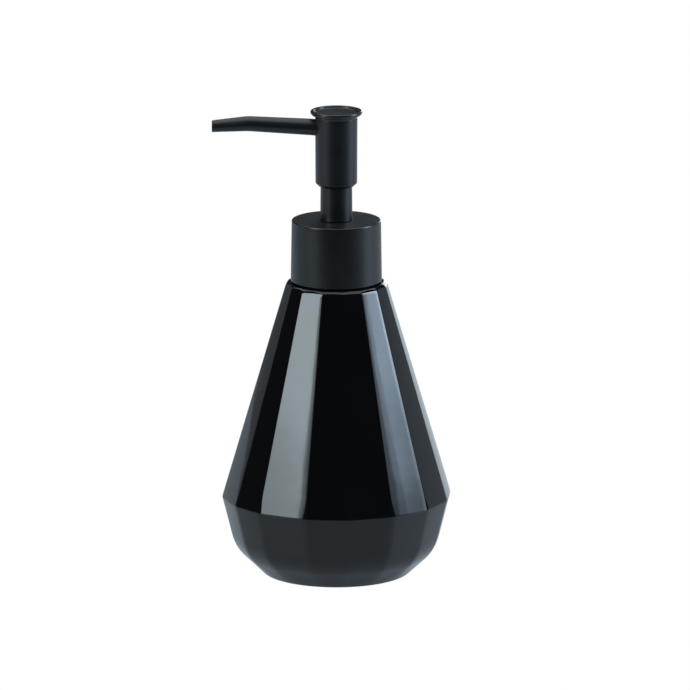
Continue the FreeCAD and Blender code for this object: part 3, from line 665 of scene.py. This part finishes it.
def spout_stations():
    """Centre line of the spout with its one soft bend: (distance out, height, radius)."""
    root, bend, tip = [Vector(p) for p in SPOUT_LINE]
    before = bend.lerp(root, BEND_EASE / (bend.x - root.x))
    after = bend.lerp(tip, BEND_EASE / (tip.x - bend.x))
    stations = [root.lerp(before, i / ROOT_STEPS) for i in range(ROOT_STEPS)]
    for i in range(BEND_STEPS + 1):
        share = i / BEND_STEPS
        stations.append(before.lerp(bend, share).lerp(bend.lerp(after, share), share))
    stations += [after.lerp(tip, i / TIP_STEPS) for i in range(1, TIP_STEPS + 1)]
    return stations


def spout_ring(stations, index, radius, turns):
    """A ring of points square to the spout's line at one station; the ring at the tip is upright."""
    station = stations[index]
    low = stations[max(index - 1, 0)]
    high = stations[min(index + 1, len(stations) - 1)]
    heading = Vector((-(high.x - low.x), 0, high.y - low.y)).normalized()
    sideways = Vector((0, 1, 0))
    upward = sideways.cross(heading).normalized()
    if upward.z < 0:
        upward = -upward
    if index == len(stations) - 1:
        upward = Vector((0, 0, 1))
    centre = Vector((-station.x, 0, SPOUT_Z + station.y))
    return [centre + sideways * radius * math.cos(t) + upward * radius * math.sin(t) for t in turns]


def tip_rounding(tip):
    """Rings that round the outer edge of the tip over to its flat end."""
    centre = sum(tip, Vector()) / len(tip)
    rings = []
    for i in range(TIP_ROUND_STEPS + 1):
        bend = math.pi / 2 * i / TIP_ROUND_STEPS
        back = Vector((TIP_ROUND * (1 - math.sin(bend)), 0, 0))
        pull = TIP_ROUND * (1 - math.cos(bend))
        rings.append([
            p + back + Vector((0, centre.y - p.y, centre.z - p.z)).normalized() * pull for p in tip
        ])
    return rings


def spout():
    turns = [2 * math.pi * i / SPOUT_SEGMENTS for i in range(SPOUT_SEGMENTS)]
    stations = spout_stations()
    outer = [spout_ring(stations, i, s.z, turns) for i, s in enumerate(stations)]
    inner = [spout_ring(stations, i, SPOUT_BORE, turns) for i in range(len(stations))]
    saddle = [Vector((0, SPIGOT_R * math.cos(t), SPOUT_Z + SPIGOT_R * math.sin(t))) for t in turns]
    seat = HEAD_R + SEAT_GAP
    for p in outer[0] + saddle:
        p.x = -math.sqrt(max(0.0, seat ** 2 - p.y ** 2))
    spigot_end = [Vector((-SPIGOT_END, p.y, p.z)) for p in saddle]
    spigot_bore = [
        Vector((-SPIGOT_END, SPOUT_BORE * math.cos(t), SPOUT_Z + SPOUT_BORE * math.sin(t))) for t in turns
    ]
    centre = sum(outer[-1], Vector()) / SPOUT_SEGMENTS
    outlet = [
        Vector((p.x, *(centre.yz + (p.yz - centre.yz) * OUTLET_FLARE))) for p in inner[-1]
    ]
    outlet_inside = [p + Vector((OUTLET_EASE, 0, 0)) for p in inner[-1]]
    loops = [spigot_bore, spigot_end, saddle, *outer[:-1], *tip_rounding(outer[-1])]
    loops += [outlet, outlet_inside, *reversed(inner[1:-1])]
    for loop in loops:
        for p in loop:
            p *= MM
    piece = mesh_object("spout_tube", loft(loops, ring=True), sharp_deg=35.0)
    paint(piece, MATERIALS["matte_black"])
    return place(piece, "head", "spout")


# ---------------------------------------------------------------------------
# works that keep their CAD shape
# ---------------------------------------------------------------------------


def works():
    """Gives every CAD node its slot's material, and puts a copy of the spring, with a mesh of its own, on
    the pump body in place of the CAD spring.
    """
    slots = {part["node"]: part["material_slot"] for part in frame["record"]["subparts"]}
    for name, obj in frame["nodes"].items():
        paint(obj, MATERIALS[slots[name]])
    original = frame["nodes"]["return_spring"]
    spring = bpy.data.objects.new("return_spring_coil", original.data.copy())
    bpy.context.scene.collection.objects.link(spring)
    place(spring, "pump_body", "return_spring")
    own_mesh(spring)


# ---------------------------------------------------------------------------
# studio
# ---------------------------------------------------------------------------

AIM = Vector((0.0032, 0.0, 0.0861))
CAMERA_DISTANCE = 4.0
CAMERA_ELEVATION = 13.0
CAMERA_LENS = 562.6
SENSOR_WIDTH = 36.0
CAMERA_FAR = 50.0

FLOOR_CORNERS = ((-6.0, -6.0), (6.0, 6.0))      # opposite corners, in metres
TABLE_CORNERS = ((-1.5, -0.26), (1.5, 1.2))
FLOOR_Z, TABLE_Z = -0.0012, -0.0006
# the table glows with painted light that brightens what the bottle reflects near its foot
TABLE_GLOW, TABLE_GLOW_COLOUR = 0.47, (0.76, 0.89, 1.0, 1)
ROOM_SEEN = (1.0, 1.0, 1.0, 1)
ROOM_REFLECTED = (0.035, 0.036, 0.040, 1)

LIT_POINT = Vector((0, 0, 0.07))        # what every light faces
# shares of a light's height between which it grows, and how weak and strong it is there
LEFT_GROWTH = (0.20, 0.30, 0.60, 1.05)
RIGHT_GROWTH = (0.24, 0.37, 0.42, 1.6)

# name, azimuth, elevation, distance, width, height, radiance, colour, growth
LIGHTS = [
    ("left_window", -59.5, 24.0, 1.4, 0.32, 1.0, 8.8, (0.80, 0.94, 1.0), LEFT_GROWTH),
    ("left_window_edge", -52.0, 24.0, 1.4, 0.045, 1.0, 3.4, (0.80, 0.94, 1.0), LEFT_GROWTH),
    ("left_curtain", -49.3, 24.0, 1.4, 0.085, 1.0, 1.2, (0.80, 0.94, 1.0), LEFT_GROWTH),
    ("right_curtain", 75.2, 18.0, 1.4, 0.09, 0.95, 1.2, (0.66, 0.82, 1.0), RIGHT_GROWTH),
    ("right_window_edge", 78.1, 18.0, 1.4, 0.05, 0.95, 3.4, (0.62, 0.80, 1.0), RIGHT_GROWTH),
    ("right_window", 82.2, 18.0, 1.4, 0.15, 0.95, 5.2, (0.62, 0.80, 1.0), RIGHT_GROWTH),
    ("right_window_far", 92.0, 18.0, 1.4, 0.33, 0.95, 8.0, (0.70, 0.85, 1.0), RIGHT_GROWTH),
    ("right_room", 124.0, 8.0, 1.5, 0.40, 0.8, 0.44, (0.74, 0.87, 1.0), None),
    ("back_left", -141.0, 8.0, 1.5, 0.60, 0.8, 0.22, (0.86, 0.94, 1.0), None),
    ("back_right", 162.0, 8.0, 1.5, 0.55, 0.7, 3.0, (0.84, 0.95, 1.0), None),
    ("overhead", 180.0, 80.0, 1.7, 2.6, 2.6, 1.7, (0.88, 0.96, 1.0), None),
]


def direction(azimuth, elevation):
    """Unit vector from the object; azimuth 0 is towards the camera, positive to its right."""
    az, el = math.radians(azimuth), math.radians(elevation)
    return Vector((math.sin(az) * math.cos(el), -math.cos(az) * math.cos(el), math.sin(el)))


def camera():
    data = bpy.data.cameras.new("camera")
    data.lens = CAMERA_LENS
    data.sensor_width = SENSOR_WIDTH
    data.clip_end = CAMERA_FAR
    obj = bpy.data.objects.new("camera", data)
    bpy.context.scene.collection.objects.link(obj)
    obj.location = AIM + direction(0.0, CAMERA_ELEVATION) * CAMERA_DISTANCE
    obj.rotation_euler = (math.radians(90.0 - CAMERA_ELEVATION), 0.0, 0.0)
    bpy.context.scene.camera = obj


def brighten_upward(data, low, high, weak, strong):
    """Lets a rectangular light grow from weak to strong between two shares of its height."""
    data.use_nodes = True
    tree = data.node_tree
    emission = next(n for n in tree.nodes if n.type == "EMISSION")
    geometry = tree.nodes.new("ShaderNodeNewGeometry")
    split = tree.nodes.new("ShaderNodeSeparateXYZ")
    grow = tree.nodes.new("ShaderNodeMapRange")
    grow.interpolation_type = "SMOOTHSTEP"
    for socket, value in zip(grow.inputs[1:5], (low, high, weak, strong)):
        socket.default_value = value
    tree.links.new(geometry.outputs["Parametric"], split.inputs[0])
    tree.links.new(split.outputs["Y"], grow.inputs[0])
    tree.links.new(grow.outputs[0], emission.inputs["Strength"])


def softbox(name, azimuth, elevation, distance, width, height, radiance, colour, growth):
    """A rectangular light that faces the bottle, with the brightness that its face shows."""
    data = bpy.data.lights.new(name, "AREA")
    data.shape = "RECTANGLE"
    data.size = width
    data.size_y = height
    data.energy = radiance * math.pi * width * height
    data.color = colour
    if growth:
        brighten_upward(data, *growth)
    obj = bpy.data.objects.new(name, data)
    bpy.context.scene.collection.objects.link(obj)
    away = direction(azimuth, elevation)
    obj.location = LIT_POINT + away * distance
    obj.rotation_euler = away.to_track_quat("Z", "Y").to_euler()
    obj.visible_camera = False


def floor_piece(name, corners, height, material):
    """A level rectangle between two corners, in metres, that the camera doesn't see."""
    (x0, y0), (x1, y1) = corners
    bm = bmesh.new()
    bm.faces.new([bm.verts.new((x, y, height)) for x, y in ((x0, y0), (x1, y0), (x1, y1), (x0, y1))])
    obj = mesh_object(name, bm)
    obj.visible_camera = False
    paint(obj, material)


def floor():
    """What lies under the object, seen only in reflections: a table that glows with painted light, and a dim
    floor beyond.
    """
    far = Nodes("dim_floor")
    worn = far.noise(size=60.0, detail=3.0)
    far.set(Base_Color=far.mix(worn, (0.028, 0.031, 0.035, 1), (0.034, 0.038, 0.043, 1)))
    near = Nodes("glowing_table")
    cloud = near.noise(size=30.0, detail=3.0)
    near.set(Base_Color=near.mix(cloud, (0.10, 0.12, 0.14, 1), (0.13, 0.15, 0.17, 1)))
    # painted light: the table glows though it is no lamp
    near.set(Emission_Color=TABLE_GLOW_COLOUR, Emission_Strength=TABLE_GLOW)
    floor_piece("far_floor", FLOOR_CORNERS, FLOOR_Z, far.material)
    floor_piece("table_top", TABLE_CORNERS, TABLE_Z, near.material)


def world():
    """A pale room as the camera sees it, and a dim one in what the object reflects."""
    sky = bpy.data.worlds.new("room")
    bpy.context.scene.world = sky
    sky.use_nodes = True
    tree = sky.node_tree
    shader = next(n for n in tree.nodes if n.type == "BACKGROUND")
    path = tree.nodes.new("ShaderNodeLightPath")
    colour = tree.nodes.new("ShaderNodeMix")
    colour.data_type = "RGBA"
    colour.inputs[6].default_value = ROOM_REFLECTED
    colour.inputs[7].default_value = ROOM_SEEN
    tree.links.new(path.outputs["Is Camera Ray"], colour.inputs["Factor"])
    tree.links.new(colour.outputs[2], shader.inputs["Color"])


def studio():
    bpy.context.scene.view_settings.view_transform = "Standard"
    floor()
    world()
    for light in LIGHTS:
        softbox(*light)


camera()
works()
bottle()
collar()
sheath()
head()
cap()
spout()
studio()
